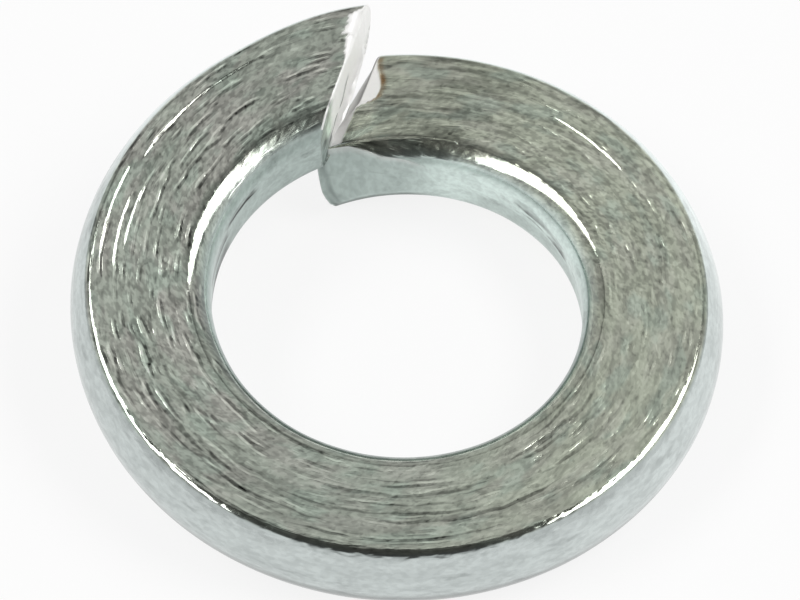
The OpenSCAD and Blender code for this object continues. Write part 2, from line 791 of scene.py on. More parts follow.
    def material(self) -> bpy.types.Material:
        """Build the material.

        Returns:
            A metal whose pattern follows the wire by the piece's own layers.
        """
        made, bench = new_material("zinc_plate")
        wire = bench.layer(Layer.WIRE, "Vector")
        skin = (Layer.SHEAR, Layer.STAIN, Layer.SHADE)
        shear, stain, shade = [bench.layer(layer, "Fac") for layer in skin]
        at = self.places(bench, wire)
        marks = self.patterns.drawn(bench, wire)
        wall, face = self.wall_paint(bench, at, marks), self.face_paint(bench, at, marks)
        base = bench.mix_colours(at.flat, wall, face)
        # Bare metal of the shear, partly a painted highlight
        base = bench.mix_colours(shear, base, self.bare_and_highlight_colour)
        base = bench.mix_colours(stain, base, self.stain_colour)
        bump = bench.node("ShaderNodeBump", sockets={
            "Strength": 1.0,
            "Distance": MM,
            "Height": self.relief(at, marks),
        })
        # The shade layer darkens the base colour, with painted shade and with dark marks
        shader = bench.node("ShaderNodeBsdfPrincipled", sockets={
            "Base Color": bench.shaded(base, 1.0 - shade),
            "Metallic": 1.0 - shear * self.torn_share,
            "Roughness": self.roughness(at, marks, shear),
            "Normal": bump.outputs["Normal"],
        })
        bench.node("ShaderNodeOutputMaterial", sockets={"Surface": shader.outputs["BSDF"]})
        return made


@dataclass(frozen=True)
class WhiteBoard:
    """Matt white board that keeps the shadow and can be looked through from below."""

    colour: Colour = (0.9, 0.9, 0.9, 1.0)
    glow: float = 0.85

    def material(self) -> bpy.types.Material:
        """Build the material.

        Returns:
            A white board that adds a plain glow for the camera, for metal and for glass.
        """
        made, bench = new_material("white_board")
        path = bench.node("ShaderNodeLightPath").outputs
        seen = Term(bench, path["Is Camera Ray"]) + Term(bench, path["Is Glossy Ray"])
        seen = seen + Term(bench, path["Is Transmission Ray"])
        board = bench.node("ShaderNodeBsdfDiffuse", sockets={"Color": self.colour})
        white = bench.node("ShaderNodeEmission", sockets={"Strength": 1.0})
        top = bench.node("ShaderNodeMixShader", sockets={
            0: seen * self.glow, 1: board.outputs[0], 2: white.outputs[0],
        })
        clear = bench.node("ShaderNodeBsdfTransparent")
        below = bench.node("ShaderNodeNewGeometry").outputs["Backfacing"]
        both = bench.node("ShaderNodeMixShader", sockets={
            0: below, 1: top.outputs[0], 2: clear.outputs[0],
        })
        bench.node("ShaderNodeOutputMaterial", sockets={"Surface": both.outputs[0]})
        return made


class SectionPen:
    """Draws a wire's outline in the plane of radius and height, one stretch after another."""

    def __init__(self, mesh: bmesh.types.BMesh, start: Vector) -> None:
        """Put the first point down.

        Args:
            mesh: The mesh that gets the points; it needs a float layer "around".
            start: The first point on the bore's wall, as radius, 0 and height.
        """
        self.mesh = mesh
        self.around = mesh.verts.layers.float["around"]
        self.first = mesh.verts.new(start)
        self.tip = self.first
        self.inward = Vector((1.0, 0.0, 0.0))

    def _move_on(self, vertex: bmesh.types.BMVert) -> None:
        """Make a new point the tip and note how far round the outline it lies."""
        vertex[self.around] = self.tip[self.around] + (vertex.co - self.tip.co).length
        self.tip = vertex

    def line(self, end: Vector, steps: int) -> None:
        """Draw a straight stretch to a point, in equal steps.

        Args:
            end: Where the stretch ends.
            steps: How many steps it has.
        """
        step = (end - self.tip.co) / steps
        for _ in range(steps):
            made = bmesh.ops.extrude_vert_indiv(self.mesh, verts=[self.tip])["verts"]
            bmesh.ops.translate(self.mesh, vec=step, verts=made)
            self._move_on(made[0])

    def arc(self, radius: float, angle: float, steps: int) -> None:
        """Draw an arc that leaves the last stretch smoothly, clockwise by an angle in degrees.

        Args:
            radius: The arc's radius.
            angle: How far it turns.
            steps: How many steps it has.
        """
        centre = self.tip.co + self.inward * radius
        for _ in range(steps):
            made = bmesh.ops.spin(
                self.mesh, geom=[self.tip], cent=centre, axis=(0.0, 1.0, 0.0),
                angle=math.radians(angle / steps), steps=1, use_duplicate=False,
            )["geom_last"]
            self._move_on(made[0])
        self.inward = Matrix.Rotation(math.radians(angle), 3, "Y") @ self.inward

    def close(self) -> float:
        """Join the last point to the first one.

        Returns:
            The length of the whole outline.
        """
        self.mesh.edges.new((self.tip, self.first))
        return self.tip[self.around] + (self.first.co - self.tip.co).length


@dataclass
class WireSection:
    """Section of the rolled wire, in millimetres: flat faces, a round bore side, a crowned outer side.

    The bore edge is a row of arcs, each with its radius and its angle in degrees.
    """

    bore_r: float
    outer_r: float
    thickness: float = 2.0
    inner_arcs: tuple[tuple[float, float], ...] = (
        (0.25, 21.0), (1.00, 21.0), (0.36, 16.0), (0.62, 32.0),
    )
    outer_round: float = 0.26
    crown_angle: float = 50.0
    wall_steps: int = 8
    top_arc_steps: int = 6
    top_steps: int = 36
    outer_steps: int = 6
    crown_steps: int = 20
    under_steps: int = 18
    under_arc_steps: int = 4
    last_wall_steps: int = 3
    last_step: float = 0.1

    def __post_init__(self) -> None:
        """Work out the crown and where the edges start."""
        self.mid_z = self.thickness / 2.0
        slope = math.radians(self.crown_angle)
        self.crown_r = (self.mid_z - self.outer_round * (1.0 - math.cos(slope))) / math.cos(slope)
        crown_run = (self.crown_r - self.outer_round) * math.sin(slope)
        self.outer_edge_r = self.outer_r - self.crown_r + crown_run
        inset, self.inner_drop = self.edge_point(math.pi / 2.0)
        self.inner_edge_r = self.bore_r + inset
        self.inner_length = sum(radius * math.radians(angle) for radius, angle in self.inner_arcs)
        self.mean_r = (self.bore_r + self.outer_r) / 2.0

    def edge_point(self, angle: float) -> tuple[float, float]:
        """Place on the bore edge, from the border of the top face.

        Args:
            angle: How far the surface has turned away from the top face, in radians.

        Returns:
            The distances towards the bore and down.
        """
        inset, drop, start = 0.0, 0.0, 0.0
        for radius, degrees in self.inner_arcs:
            stop = min(angle, start + math.radians(degrees))
            inset += radius * (math.sin(stop) - math.sin(start))
            drop += radius * (math.cos(start) - math.cos(stop))
            start = stop
        return inset, drop

    def draw(self, mesh: bmesh.types.BMesh) -> float:
        """Draw the outline, clockwise from the middle of the bore's wall.

        Args:
            mesh: An empty mesh with the layer "around".

        Returns:
            The outline's length.
        """
        pen = SectionPen(mesh, Vector((self.bore_r, 0.0, self.mid_z)))
        pen.line(Vector((self.bore_r, 0.0, self.thickness - self.inner_drop)), self.wall_steps)
        for radius, angle in reversed(self.inner_arcs):
            pen.arc(radius, angle, self.top_arc_steps)
        pen.line(Vector((self.outer_edge_r, 0.0, self.thickness)), self.top_steps)
        pen.arc(self.outer_round, self.crown_angle, self.outer_steps)
        pen.arc(self.crown_r, 180.0 - 2.0 * self.crown_angle, self.crown_steps)
        pen.arc(self.outer_round, self.crown_angle, self.outer_steps)
        pen.line(Vector((self.inner_edge_r, 0.0, 0.0)), self.under_steps)
        for radius, angle in self.inner_arcs:
            pen.arc(radius, angle, self.under_arc_steps)
        pen.line(Vector((self.bore_r, 0.0, self.mid_z - self.last_step)), self.last_wall_steps)
        return pen.close()

    @property
    def wall(self) -> float:
        """Height of the straight upper half of the bore's wall."""
        return self.thickness - self.inner_drop - self.mid_z

    def around_at(self, radius: float) -> float:
        """Distance round the outline of a radius on the top face."""
        return self.wall + self.inner_length + radius - self.inner_edge_r


@dataclass(frozen=True)
class LowerEnd:
    """What the shear did to the lower end: a pressed bore edge, a bright facet, a swollen side.

    Lengths and radii are in millimetres, slopes are drops for each millimetre, and the least angle
    of the pressed flat's crease is in degrees.
    """

    press_length: float = 2.7
    press_least: float = 4.0
    crease_share: float = 0.85
    facet_width: float = 0.41
    facet_least: float = 0.04
    facet_side: Fade = Fade(5.52, 5.82)
    facet_taper: float = 0.85
    facet_rim: Fade = Fade(5.95, 6.85)
    facet_ripple: Ripple = Ripple(0.02, 6.0, place=(1.3, 4.1))
    facet_slope: float = 0.23
    raised_slope: float = 0.12
    raised_reach: float = 0.675
    raised_side: Fade = Fade(5.8, 5.45)
    lip: float = 0.04
    lip_run: Fade = Fade(0.05, 0.0)
    bulge: float = 0.11
    bulge_foot: float = 0.1
    bulge_height: float = 1.7
    bulge_side: Fade = Fade(4.9, 4.3)
    bulge_run: Fade = Fade(1.2, 0.0)
    corner: float = 0.18
    corner_height: Fade = Fade(0.85, 0.45)

    def facet(self, r: float) -> float:
        """Width of the bright facet along the cut, at a radius."""
        wide = self.facet_width * self.facet_side.at(r) * (1.0 - self.facet_taper * self.facet_rim.at(r))
        return max(wide, self.facet_least) + self.facet_ripple.at(r)

    def drop(self, r: float, from_end: float) -> float:
        """How far the top face is drawn down, at a radius and a distance from the cut.

        Args:
            r: A radius of the section.
            from_end: Distance from the cut along the wire.

        Returns:
            The drop.
        """
        facet = self.facet_slope * max(0.0, self.facet(r) - from_end)
        bend = max(0.0, self.raised_reach - from_end) ** 2 / self.raised_reach
        raised = self.raised_slope / 2.0 * bend * self.raised_side.at(r)
        return facet - raised + self.lip * self.lip_run.at(from_end)

    def swell(self, r: float, z: float, from_end: float) -> float:
        """How far the pressed bore edge swells out past the cut.

        Args:
            r: A radius of the section.
            z: A height in the section.
            from_end: Distance from the cut along the wire.

        Returns:
            The distance along the wire.
        """
        belly = math.sin(math.pi * min(1.0, max(0.0, (z - self.bulge_foot) / self.bulge_height)))
        swell = self.bulge * belly - self.corner * self.corner_height.at(z)
        return swell * self.bulge_side.at(r) * self.bulge_run.at(from_end)


@dataclass(frozen=True)
class UpperEnd:
    """What the shear did to the upper end: a ragged rounding along the cut and a spread corner.

    Lengths and radii are in millimetres.
    """

    roll: float = 0.20
    roll_inside: float = 0.06
    roll_least: float = 0.01
    roll_depth: float = 0.8
    roll_side: Fade = Fade(5.6, 6.4)
    roll_rim: Fade = Fade(6.88, 6.72)
    roll_ripples: tuple[Ripple, ...] = (
        Ripple(0.10, 6.5, place=(0.0, 7.7)),
        Ripple(0.09, 15.0, place=(3.0, 1.2)),
    )
    splay: float = 0.20
    splay_run: Fade = Fade(3.4, 0.0)
    splay_side: Fade = Fade(5.9, 6.9)

    def roll_width(self, r: float) -> float:
        """Width of the rounding, at a radius: wide outside, ragged, none at the rim.

        Args:
            r: A radius of the section.

        Returns:
            The width.
        """
        ragged = sum(ripple.at(r) for ripple in self.roll_ripples)
        wide = self.roll_inside + (self.roll + ragged) * self.roll_side.at(r)
        return max(self.roll_least, wide * self.roll_rim.at(r))

    def drop(self, r: float, from_end: float) -> float:
        """How far the top edge is rounded over, at a radius and a distance from the cut.

        Args:
            r: A radius of the section.
            from_end: Distance from the cut along the wire.

        Returns:
            The drop.
        """
        width = self.roll_width(r)
        share = max(0.0, 1.0 - from_end / width)
        return self.roll_depth * width * (1.0 - math.sqrt(max(0.0, 1.0 - share * share)))

    def spread(self, r: float, from_end: float) -> float:
        """How far the outer side is spread outwards."""
        return self.splay * self.splay_run.at(from_end) * self.splay_side.at(r)


@dataclass(frozen=True)
class CutFace:
    """The sheared faces, in millimetres: burnished above, torn and set back below.

    The upper one has a slanting dark line and a plated tip at the bore, darkened by painted shade.
    """

    frill: float = 0.03
    lower_grid: int = 20
    upper_grid: int = 44
    grid_snap: float = 1e-5
    burnish_share: float = 0.62
    stripes: Ripple = Ripple(0.008, 7.0, 0.6, (0.0, 2.0))
    torn_depth: float = 0.035
    torn: Ripple = Ripple(0.03, 4.0, 7.0, (0.0, 9.0))
    step: Ripple = Ripple(0.04, 2.0, place=(5.0, 5.0))
    step_width: float = 0.03
    tear_cells: float = 5.0
    tear_reach: float = 0.15
    tip: Fade = Fade(4.95, 4.62)
    tip_plated: float = 0.8
    tip_shade: float = 0.34
    tip_tears: float = 0.6
    line_radius: float = 5.0
    line_height: float = 0.5
    line_slope: float = 0.66
    line_side: Fade = Fade(0.12, 0.03)
    line_run: Fade = Fade(6.0, 5.8)
    line_shade: float = 0.66

    def relief(self, share: float, across: float) -> float:
        """How far the surface stands out.

        Args:
            share: Height in the section, from 0 at the bottom to 1 on top.
            across: Distance along the cut.

        Returns:
            The offset along the cut's outward normal.
        """
        torn = self.torn_depth + self.torn.at(across, share)
        step = 1.0 - self.burnish_share + self.step.at(across)
        return self.stripes.at(across, share) - torn * smooth_step(step, step - self.step_width, share)

    def upper_marks(self, spot: Vector, lead: float) -> tuple[float, float]:
        """Bare metal and shade on the upper face.

        Args:
            spot: A point of the face.
            lead: The rise of the wire over its one turn.

        Returns:
            How bare and how dark the metal is, from 0 to 1.
        """
        tear = noise.noise(spot * self.tear_cells)
        reach = spot.to_2d().length + self.tear_reach * tear
        tip = self.tip.at(reach)
        level = self.line_height + self.line_slope * (reach - self.line_radius)
        line = self.line_side.at(abs(spot.z - lead - level)) * self.line_run.at(reach)
        # Painted shade on the plated tip at the bore
        shade = tip * max(0.0, self.tip_shade + self.tip_tears * tear)
        return 1.0 - self.tip_plated * tip, max(shade, self.line_shade * line)


@dataclass(frozen=True)
class BareMetal:
    """Where the shear left bright metal on the skin, painted near white as bare metal and as a painted
    highlight, with a stain beside it; places in millimetres.
    """

    crease_share: float = 0.45
    crease_line: Fade = Fade(-0.12, 0.0)
    crease_run: Fade = Fade(2.4, 1.6)
    facet_edge: Fade = Fade(-0.02, 0.02)
    facet_rim: Fade = Fade(6.95, 6.85)
    roll_edge: Fade = Fade(-0.02, 0.04)
    stain_edge: Fade = Fade(-0.17, -0.07)
    stain_side: Fade = Fade(5.6, 5.8)
    stain_rim: Fade = Fade(6.95, 6.75)
    stain_share: float = 0.62
    stain_most: float = 0.95
    stain_ripple: Ripple = Ripple(0.7, 5.0, 5.0, (0.0, 6.6))

    def along_crease(self, point: Point) -> float:
        """Bright metal along the crease above the pressed flat, partly a painted highlight.

        Args:
            point: The point's measures.

        Returns:
            How bright it is, from 0 to 1.
        """
        if point[Measure.CREASE] > TOUCH:
            return 0.0
        line = self.crease_line.at(point[Measure.CREASE])
        return self.crease_share * line * self.crease_run.at(point[Measure.LOW_END])

    def on_top(self, point: Point, facet: float, roll: float) -> tuple[float, float]:
        """Bright metal, partly a painted highlight, and stain on the top face.

        Args:
            point: The point's measures.
            facet: Width of the lower cut's facet at its radius.
            roll: Width of the upper cut's rounding at its radius.

        Returns:
            How bright and how stained it is, from 0 to 1.
        """
        r, low_end = point[Measure.RADIUS], point[Measure.LOW_END]
        bright = self.facet_edge.at(facet - low_end) * self.facet_rim.at(r)
        rolled = self.roll_edge.at(roll - point[Measure.HIGH_END])
        beside = self.stain_edge.at(facet - low_end) * (1.0 - bright) * self.stain_side.at(r)
        uneven = max(0.0, self.stain_share + self.stain_ripple.at(r, low_end))
        return max(bright, rolled), min(self.stain_most, uneven) * beside * self.stain_rim.at(r)


@dataclass(frozen=True)
class Shade:
    """A dark patch of the skin, painted shade and dark marks alike: where it lies, how deep it is, and the
    measures that it fades by.
    """

    zone: Zone
    depth: float
    fades: tuple[tuple[Measure, Fade], ...]
    ripple: Ripple | None = None
    ripple_by: Measure = Measure.LOW_END

    def at(self, point: Point) -> float:
        """Darkness at a point, below 1.

        Args:
            point: The point's measures.

        Returns:
            The darkness.
        """
        depth = self.depth
        if self.ripple:
            depth += self.ripple.at(point[self.ripple_by], point[Measure.HEIGHT])
        return depth * math.prod(fade.at(point[measure]) for measure, fade in self.fades)


SKIN_SHADES = (
    # The pressed flat: all of it, a scratched strip beside the cut, and its lower edge
    Shade(Zone.WALL, 0.09, ((Measure.LOW_END, Fade(2.7, 1.6)),)),
    Shade(Zone.BORE, 0.30, ((Measure.LOW_END, Fade(0.0, 0.06)), (Measure.LOW_END, Fade(0.32, 0.14))),
          Ripple(0.54, 9.0, 2.2, (0.0, 3.7))),
    Shade(Zone.BORE, 0.5, ((Measure.HEIGHT, Fade(0.55, 0.42)), (Measure.LOW_END, Fade(2.7, 1.8)))),
    # Painted shade at the foot of the bore's wall: all round, more at the right, and deepest at the left,
    # where its border rises
    Shade(Zone.BORE, 0.16, ((Measure.HEIGHT, Fade(0.85, 0.3)), (Measure.LOW_END, Fade(1.6, 2.7)))),
    Shade(Zone.BORE, 0.27, ((Measure.TURN, Fade(0.6, 1.0)), (Measure.TURN, Fade(2.0, 1.6)),
                            (Measure.HEIGHT, Fade(1.12, 0.86)))),
    Shade(Zone.BORE, 0.6, ((Measure.TURN, Fade(4.85, 5.15)), (Measure.TURN, Fade(5.72, 5.48)),
                           (Measure.FOOT, Fade(0.84, 0.56))),
          Ripple(0.5, 8.0, 3.0, (0.0, 8.3)), Measure.TURN),
    # The foot of the outer side: painted shade
    Shade(Zone.CROWN, 0.5, ((Measure.HEIGHT, Fade(0.82, 0.60)),)),
    # Painted shade: a dark line on the border of the top face at the back, on both sides of the slit, and a
    # darker bore edge at the front
    Shade(Zone.ALL, 0.55, ((Measure.BORDER, Fade(0.10, 0.02)), (Measure.TURN, Fade(1.5, 1.1)))),
    Shade(Zone.ALL, 0.55, ((Measure.BORDER, Fade(0.10, 0.02)), (Measure.TURN, Fade(4.85, 5.2)))),
    Shade(Zone.PAST_WALL, 0.36, ((Measure.TURN, Fade(1.9, 2.4)), (Measure.TURN, Fade(5.0, 4.4)),
                                 (Measure.CREASE, Fade(0.66, 0.56)))),
    # The top face beside the lower cut, darker: its inner half, and a thin line of painted shade along the
    # facet
    Shade(Zone.TOP, 0.3, ((Measure.LOW_END, Fade(0.5, 0.1)), (Measure.RADIUS, Fade(5.65, 5.5)))),
    Shade(Zone.TOP, 0.72, ((Measure.LOW_END, Fade(0.055, 0.025)), (Measure.RADIUS, Fade(5.6, 5.75)))),
)


@dataclass
class SpringWasher:
    """The whole washer, in millimetres: a wire coiled left-handed for one turn and sheared off."""

    section: WireSection
    finish: ZincPlate
    lead: float = 1.8
    slit_gap: float = 0.15
    slit_slant: float = 42.0
    lower: LowerEnd = LowerEnd()
    upper: UpperEnd = UpperEnd()
    cut: CutFace = CutFace()
    bare: BareMetal = BareMetal()
    shades: tuple[Shade, ...] = SKIN_SHADES
    # Rise of the border of the painted shade at the foot of the bore's wall, and the turns over which it
    # rises
    foot_shade_rise: float = 0.20
    foot_shade_run: Fade = Fade(5.1, 5.5)
    top_depth: float = 0.25
    wave_height: float = 0.006
    wave_along: float = 4.5
    wave_across: float = 0.9
    end_step: float = 0.025
    end_count: int = 4
    plain_count: int = 88
    fine_cuts: int = 6
    layers: tuple[str, ...] = ("turn", "radius", "height", "around")
    outline: float = field(init=False, default=0.0)

    def __post_init__(self) -> None:
        """Work out the cut's offset and the wire's sweep, in radians."""
        self.cut_offset = self.section.bore_r * math.sin(math.radians(self.slit_slant))
        self.gap_turn = self.slit_gap / self.section.bore_r
        self.sweep = math.tau - self.gap_turn

    def cut_azimuth(self, r: float) -> float:
        """Azimuth of the lower end's cut at a radius, in radians."""
        slant = math.asin(self.cut_offset / r) - math.asin(self.cut_offset / self.section.mean_r)
        return math.pi / 2.0 - self.gap_turn / 2.0 + slant

    def coarse_turns(self) -> list[float]:
        """Turns of the coarse rings, in radians from the lower cut: short steps near both ends.

        Returns:
            The turns, in rising order.
        """
        start = self.end_step * self.end_count
        plain = (self.sweep - 2.0 * start) / self.plain_count
        turns = [self.end_step * i for i in range(self.end_count)]
        turns += [start + plain * i for i in range(self.plain_count)]
        return turns + [self.sweep - self.end_step * i for i in range(self.end_count, -1, -1)]

    def sweep_wire(self, mesh: bmesh.types.BMesh) -> None:
        """Draw the section and spin it along the coil, as an open tube with its layers filled.

        Args:
            mesh: The mesh to work in.
        """
        turn, radius, height, _ = [mesh.verts.layers.float.new(name) for name in self.layers]
        self.outline = self.section.draw(mesh)
        for vertex in mesh.verts:
            vertex[radius] = vertex.co.x
            vertex[height] = vertex.co.z
        ring = list(mesh.verts) + list(mesh.edges)
        turns = self.coarse_turns()
        for before, now in zip(turns, turns[1:]):
            ring = bmesh.ops.spin(
                mesh, geom=ring, cent=(0.0, 0.0, 0.0), axis=(0.0, 0.0, -1.0),
                dvec=(0.0, 0.0, self.lead * (now - before) / math.tau),
                angle=now - before, steps=1, use_duplicate=False,
            )["geom_last"]
            for vertex in ring:
                if isinstance(vertex, bmesh.types.BMVert):
                    vertex[turn] = now
        along = [
            edge for edge in mesh.edges
            if abs(edge.verts[0][turn] - edge.verts[1][turn]) > SAME_TURN
        ]
        bmesh.ops.subdivide_edges(mesh, edges=along, cuts=self.fine_cuts, use_grid_fill=True)

    def pressed(self, r: float, z: float, around: float, from_end: float) -> tuple[float, float]:
        """Flatten the bore edge near the lower end, as the shear pressed it.

        The flat is a chord of the edge's arc. Its upper crease starts close to the top face at the
        cut and runs down the arc, until it meets the wall.

        Args:
            r: Radius of a point of the section.
            z: Its height in the section.
            around: Its distance round the outline.
            from_end: Its distance from the lower cut along the wire.

        Returns:
            The moved radius and height.
        """
        s, end = self.section, self.lower
        foot = s.mid_z - s.inner_drop
        if around > self.outline - foot - TOUCH:
            around -= self.outline
        if from_end >= end.press_length or around >= s.wall + s.inner_length:
            return r, z
        crease = max(math.radians(end.press_least), math.pi / 2.0 * from_end / end.press_length)
        angle = crease * min(1.0, (s.wall + s.inner_length - around) / s.inner_length)
        inset, drop = s.edge_point(angle)
        edge_r, edge_z = s.inner_edge_r - inset, s.thickness - drop
        share = min(1.0, (around + foot) / (s.wall + foot))
        return s.bore_r + share * (edge_r - s.bore_r), s.inner_drop + share * (edge_z - s.inner_drop)

    def place(self, turn: float, r: float, z: float, around: float) -> Vector:
        """Point in space of a point of the section at a turn along the wire.

        Args:
            turn: Turn from the lower cut, in radians.
            r: Radius in the plain section.
            z: Height in the plain section.
            around: Distance round the section's outline.

        Returns:
            The place on the coil, with the marks of rolling and shearing.
        """
        s = self.section
        azimuth = self.cut_azimuth(r) - turn
        rise = self.lead * (self.cut_azimuth(s.inner_edge_r) - azimuth) / math.tau
        low_end, high_end = turn * r, (self.sweep - turn) * r
        azimuth += self.lower.swell(r, z, low_end) / r
        moved_r, moved_z = self.pressed(r, z, around, low_end)
        drawn = max(0.0, moved_z - s.mid_z) / (s.thickness - s.mid_z)
        moved_z -= drawn * (self.lower.drop(r, low_end) + self.upper.drop(r, high_end))
        ahead = Vector((math.cos(turn), math.sin(turn), 0.0)) * self.wave_along
        wave = noise.noise(ahead + Vector((0.0, 0.0, around * self.wave_across))) * self.wave_height
        outward = smooth_step(s.outer_edge_r, s.outer_r, r) - smooth_step(s.inner_edge_r, s.bore_r, r)
        moved_r += outward * wave + self.upper.spread(r, high_end)
        moved_z += (1.0 - abs(outward)) * wave * (1.0 if z > s.mid_z else -1.0)
        return Vector((moved_r * math.cos(azimuth), moved_r * math.sin(azimuth), moved_z + rise))

    def crease_press(self, mesh: bmesh.types.BMesh) -> None:
        """Make the crease above the pressed flat sharp, up to where it runs out.

        Args:
            mesh: The mesh, with the layers of the sweep.
        """
        turn, around = mesh.verts.layers.float["turn"], mesh.verts.layers.float["around"]
        limit = self.lower.crease_share * self.lower.press_length / self.section.bore_r
        for edge in mesh.edges:
            if all(abs(v[around] - self.section.wall) < TOUCH and v[turn] < limit for v in edge.verts):
                edge.smooth = False

    def measures(self, turn: float, r: float, z: float, around: float) -> Point:
        """What the shades and the bare metal need to know of a point of the skin.

        Args:
            turn: Turn from the lower cut, in radians.
            r: Radius in the plain section.
            z: Height in the plain section.
            around: Distance round the section's outline.

        Returns:
            The point's measures.
        """
        crease = around - self.section.wall
        return {
            Measure.TURN: turn,
            Measure.RADIUS: r,
            Measure.HEIGHT: z,
            Measure.FOOT: z - self.foot_shade_rise * self.foot_shade_run.at(turn),
            Measure.CREASE: crease,
            Measure.BORDER: abs(crease - self.section.inner_length),
            Measure.LOW_END: turn * r,
            Measure.HIGH_END: (self.sweep - turn) * r,
        }

    def zones(self, point: Point) -> set[Zone]:
        """Parts of the section that a point of the skin lies in.

        Args:
            point: The point's measures.

        Returns:
            The zones.
        """
        s, r = self.section, point[Measure.RADIUS]
        tests = {
            Zone.ALL: True,
            Zone.WALL: r < s.bore_r + TOUCH,
            Zone.BORE: r < s.inner_edge_r,
            Zone.PAST_WALL: point[Measure.CREASE] > 0.0,
            Zone.CROWN: r > s.outer_edge_r,
            Zone.TOP: point[Measure.HEIGHT] >= s.thickness - self.top_depth,
        }
        return {zone for zone, inside in tests.items() if inside}

    def mark_skin(self, mesh: bmesh.types.BMesh) -> None:
        """Write the skin's shades, painted shade among them, the metal that the shear left bright, partly a
        painted highlight, and the stain beside it.

        Args:
            mesh: The mesh, with the layers of the sweep.
        """
        layers = [mesh.verts.layers.float[name] for name in self.layers]
        sheared = mesh.verts.layers.float.new(Layer.SHEAR.value)
        stained = mesh.verts.layers.float.new(Layer.STAIN.value)
        shaded = mesh.verts.layers.float.new(Layer.SHADE.value)
        for vertex in mesh.verts:
            point = self.measures(*[vertex[layer] for layer in layers])
            zones = self.zones(point)
            depths = [shade.at(point) for shade in self.shades if shade.zone in zones]
            vertex[shaded] = max(depths + [0.0])
            if Zone.TOP in zones:
                facet = self.lower.facet(point[Measure.RADIUS])
                roll = self.upper.roll_width(point[Measure.RADIUS])
                vertex[sheared], vertex[stained] = self.bare.on_top(point, facet, roll)
            else:
                vertex[sheared] = self.bare.along_crease(point)

    def close_ends(self, mesh: bmesh.types.BMesh) -> None:
        """Close both cuts, net them with a grid and rough and mark them as a shear leaves them.

        Args:
            mesh: The mesh, open at both ends.
        """
        turn = mesh.verts.layers.float["turn"]
        sheared = mesh.verts.layers.float[Layer.SHEAR.value]
        shaded = mesh.verts.layers.float[Layer.SHADE.value]
        capped = mesh.faces.layers.int.new("capped")
        for end in End:
            level = 0.0 if end is End.LOWER else self.sweep
            rim = [
                edge for edge in mesh.edges
                if all(abs(vertex[turn] - level) < SAME_TURN for vertex in edge.verts)
            ]
            cap = bmesh.ops.edgeloop_fill(mesh, edges=rim)["faces"]
            for edge in rim:
                edge.smooth = False
            bmesh.ops.recalc_face_normals(mesh, faces=mesh.faces)
            outward = cap[0].normal.copy()
            frill = bmesh.ops.inset_region(mesh, faces=cap, thickness=self.cut.frill)["faces"]
            for face in cap + frill:
                face[capped] = (Facing.INNER if face in cap else Facing.FRILL).value
            count = self.cut.lower_grid if end is End.LOWER else self.cut.upper_grid
            self._net_cap(mesh, cap, outward, capped, count)
        for face in mesh.faces:
            if face[capped] != Facing.SKIN.value:
                for vertex in face.verts:
                    # The cut faces take the bare metal colour, partly a painted highlight
                    vertex[sheared] = 1.0
                    if vertex[turn] > self.sweep / 2.0:
                        vertex[sheared], vertex[shaded] = self.cut.upper_marks(vertex.co, self.lead)

    def _net_cap(self, mesh: bmesh.types.BMesh, cap: list[bmesh.types.BMFace], outward: Vector,
                 capped: bmesh.types.BMLayerItem, count: int) -> None:
        """Cut one end's face into a grid and push its inner points in and out.

        Args:
            mesh: The mesh.
            cap: The end's one face.
            outward: The face's normal.
            capped: The layer that says which faces are inner ones of an end.
            count: The grid's rows and columns.
        """
        up = Vector((0.0, 0.0, 1.0))
        side = outward.cross(up).normalized()
        faces = list(cap)
        low, high = [pick(vertex.co.z for vertex in cap[0].verts) for pick in (min, max)]
        left, right = [pick(side.dot(vertex.co) for vertex in cap[0].verts) for pick in (min, max)]
        cuts = [(up * (low + (high - low) * i / count), up) for i in range(1, count)]
        cuts += [(side * (left + (right - left) * i / count), side) for i in range(1, count)]
        for point, normal in cuts:
            edges = {edge for face in faces for edge in face.edges}
            verts = {vertex for face in faces for vertex in face.verts}
            made = bmesh.ops.bisect_plane(
                mesh, geom=faces + list(edges) + list(verts), dist=self.cut.grid_snap,
                plane_co=point, plane_no=normal,
            )["geom"]
            faces = [face for face in made if isinstance(face, bmesh.types.BMFace)]
        inner = {
            vertex for face in faces for vertex in face.verts
            if all(other[capped] == Facing.INNER.value for other in vertex.link_faces)
        }
        for vertex in inner:
            share = (vertex.co.z - low) / (high - low)
            vertex.co += outward * self.cut.relief(share, side.dot(vertex.co))

    def lay_pattern(self, mesh: bmesh.types.BMesh) -> None:
        """Write the coordinates along and round the wire, in millimetres, for the finish.

        Args:
            mesh: The closed mesh.
        """
        turn = mesh.verts.layers.float["turn"]
        around = mesh.verts.layers.float["around"]
        capped = mesh.faces.layers.int["capped"]
        wire = mesh.loops.layers.float_vector.new(Layer.WIRE.value)
        for face in mesh.faces:
            base = face.loops[0].vert[around]
            for loop in face.loops:
                across = loop.vert[around]
                across += self.outline * round((base - across) / self.outline)
                loop[wire] = Vector((loop.vert[turn] * self.section.mean_r, across, 0.0))
                if face[capped] != Facing.SKIN.value:
                    loop[wire] = Vector((loop.vert.co.y, loop.vert.co.z - self.outline, 0.0))

    def build(self) -> bpy.types.Object:
        """Model the washer and dress it.

        Returns:
            The finished piece, in metres.
        """
        mesh = bmesh.new()
        self.sweep_wire(mesh)
        layers = [mesh.verts.layers.float[name] for name in self.layers]
        for vertex in mesh.verts:
            vertex.co = self.place(*[vertex[layer] for layer in layers])
        self.crease_press(mesh)
        self.mark_skin(mesh)
        self.close_ends(mesh)
        self.lay_pattern(mesh)
        bmesh.ops.recalc_face_normals(mesh, faces=mesh.faces)
        bmesh.ops.scale(mesh, vec=(MM, MM, MM), verts=mesh.verts)
        capped = mesh.faces.layers.int["capped"]
        for face in mesh.faces:
            face.smooth = face[capped] == Facing.SKIN.value
        data = bpy.data.meshes.new("spring_washer")
        mesh.to_mesh(data)
        mesh.free()
        data.materials.append(self.finish.material())
        piece = put_in_scene("spring_washer", data)
        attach(piece, "root")
        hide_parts("washer")
        LOG.info("spring_washer: %d faces", len(data.polygons))
        return piece


